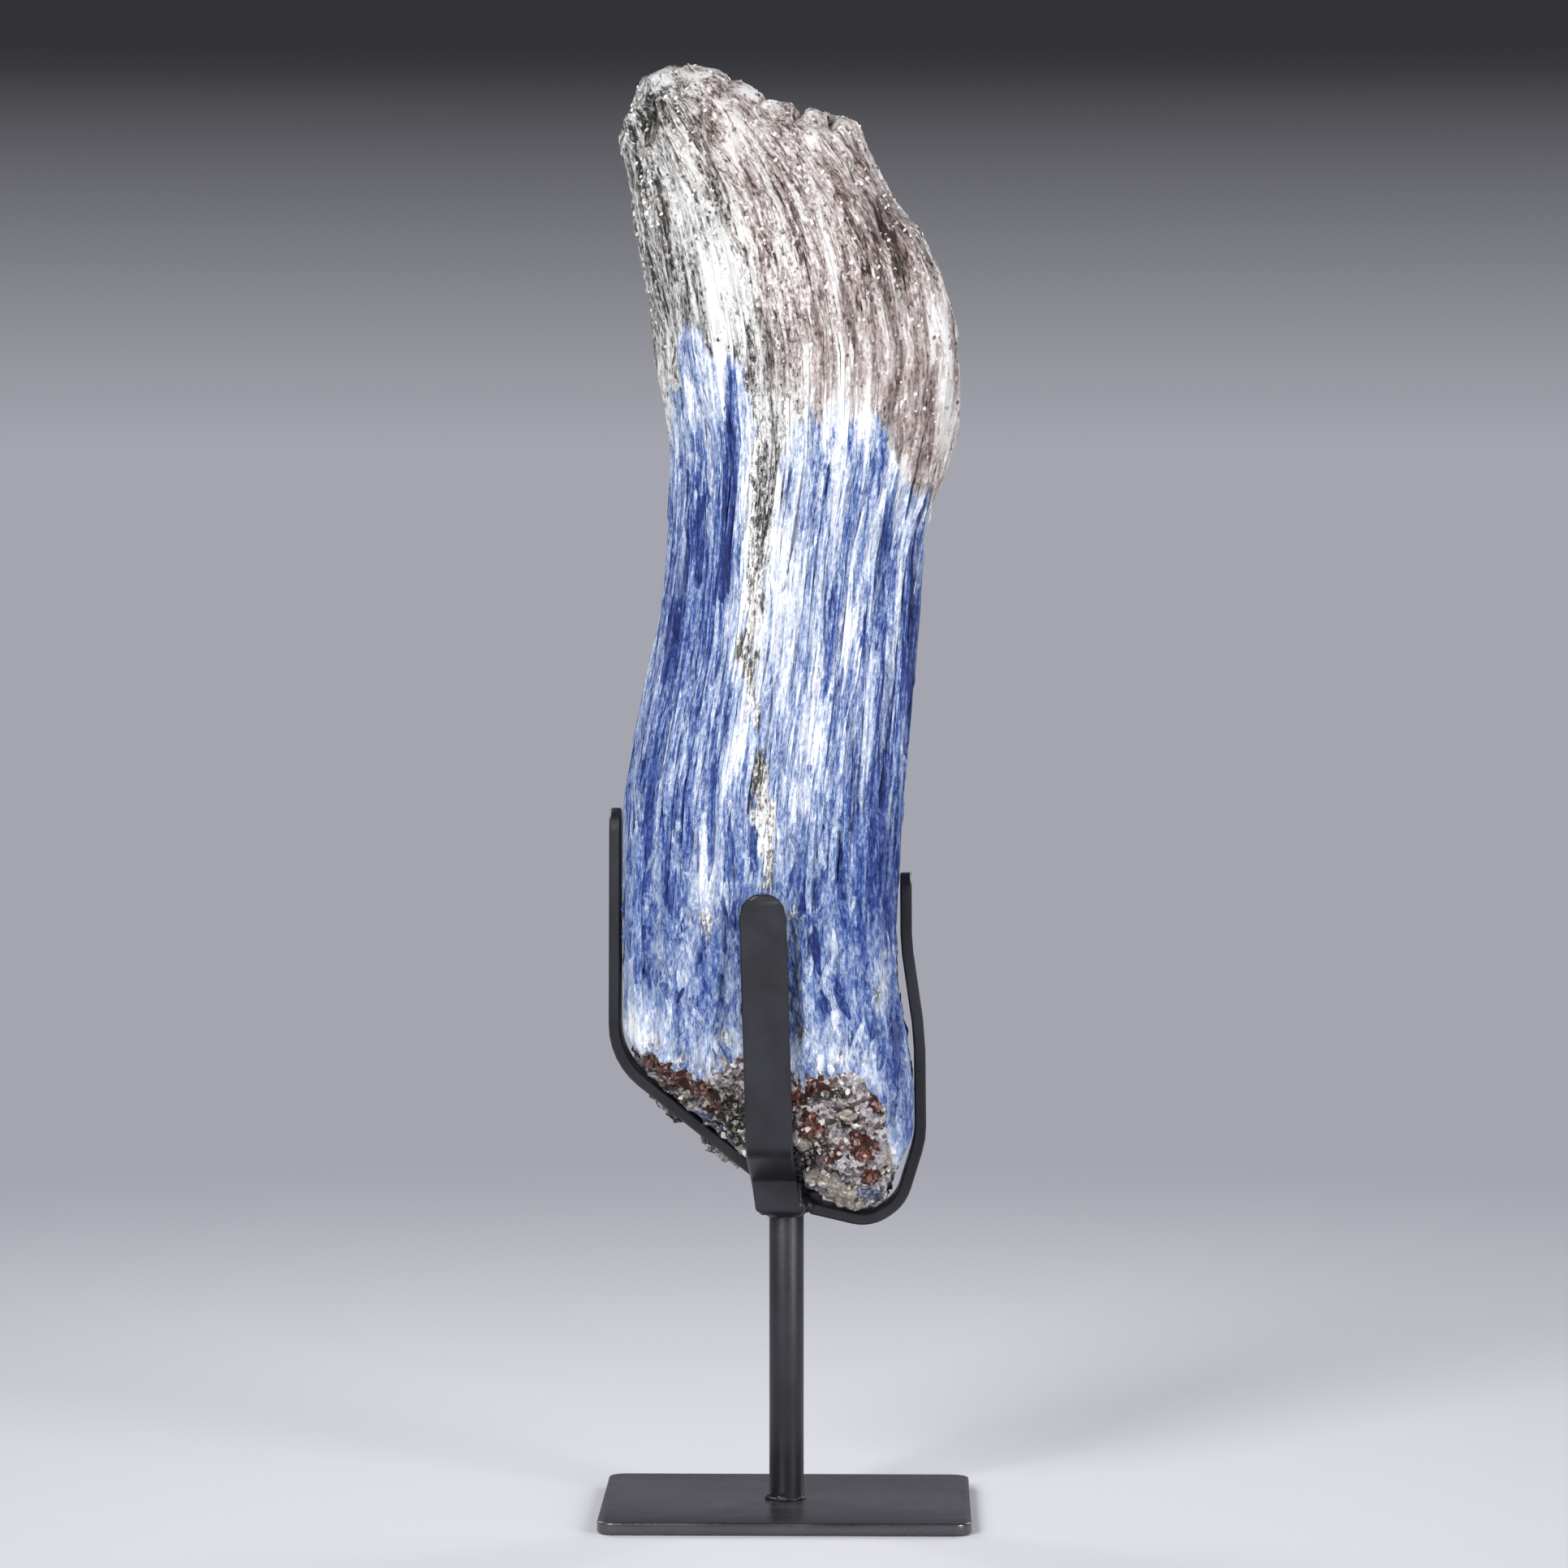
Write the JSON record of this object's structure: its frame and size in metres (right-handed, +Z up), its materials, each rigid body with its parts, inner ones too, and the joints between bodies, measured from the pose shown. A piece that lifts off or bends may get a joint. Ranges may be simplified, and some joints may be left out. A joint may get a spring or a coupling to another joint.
{
  "type": "kyanite blade cluster on a stand",
  "caption": "Tall bundle of blue kyanite blades capped by silvery mica schist, with garnets at its broken foot, held upright by a welded black steel display stand.",
  "frame": {"origin": "middle of the base plate's underside", "axes": "+Z up along the post, towards the specimen's crown; +X to the right and -Y towards the viewer, as pictured"},
  "size_m": [0.1016, 0.0762, 0.398],
  "materials": {
    "kyanite_and_schist": "satin",
    "black_steel": "satin"
  },
  "bodies": {
    "root": {"kyanite_specimen": "kyanite_and_schist", "base_plate": "black_steel", "post": "black_steel", "left_arm": "black_steel", "right_arm": "black_steel", "front_prong": "black_steel", "back_prong": "black_steel"}
  },
  "joints": []
}
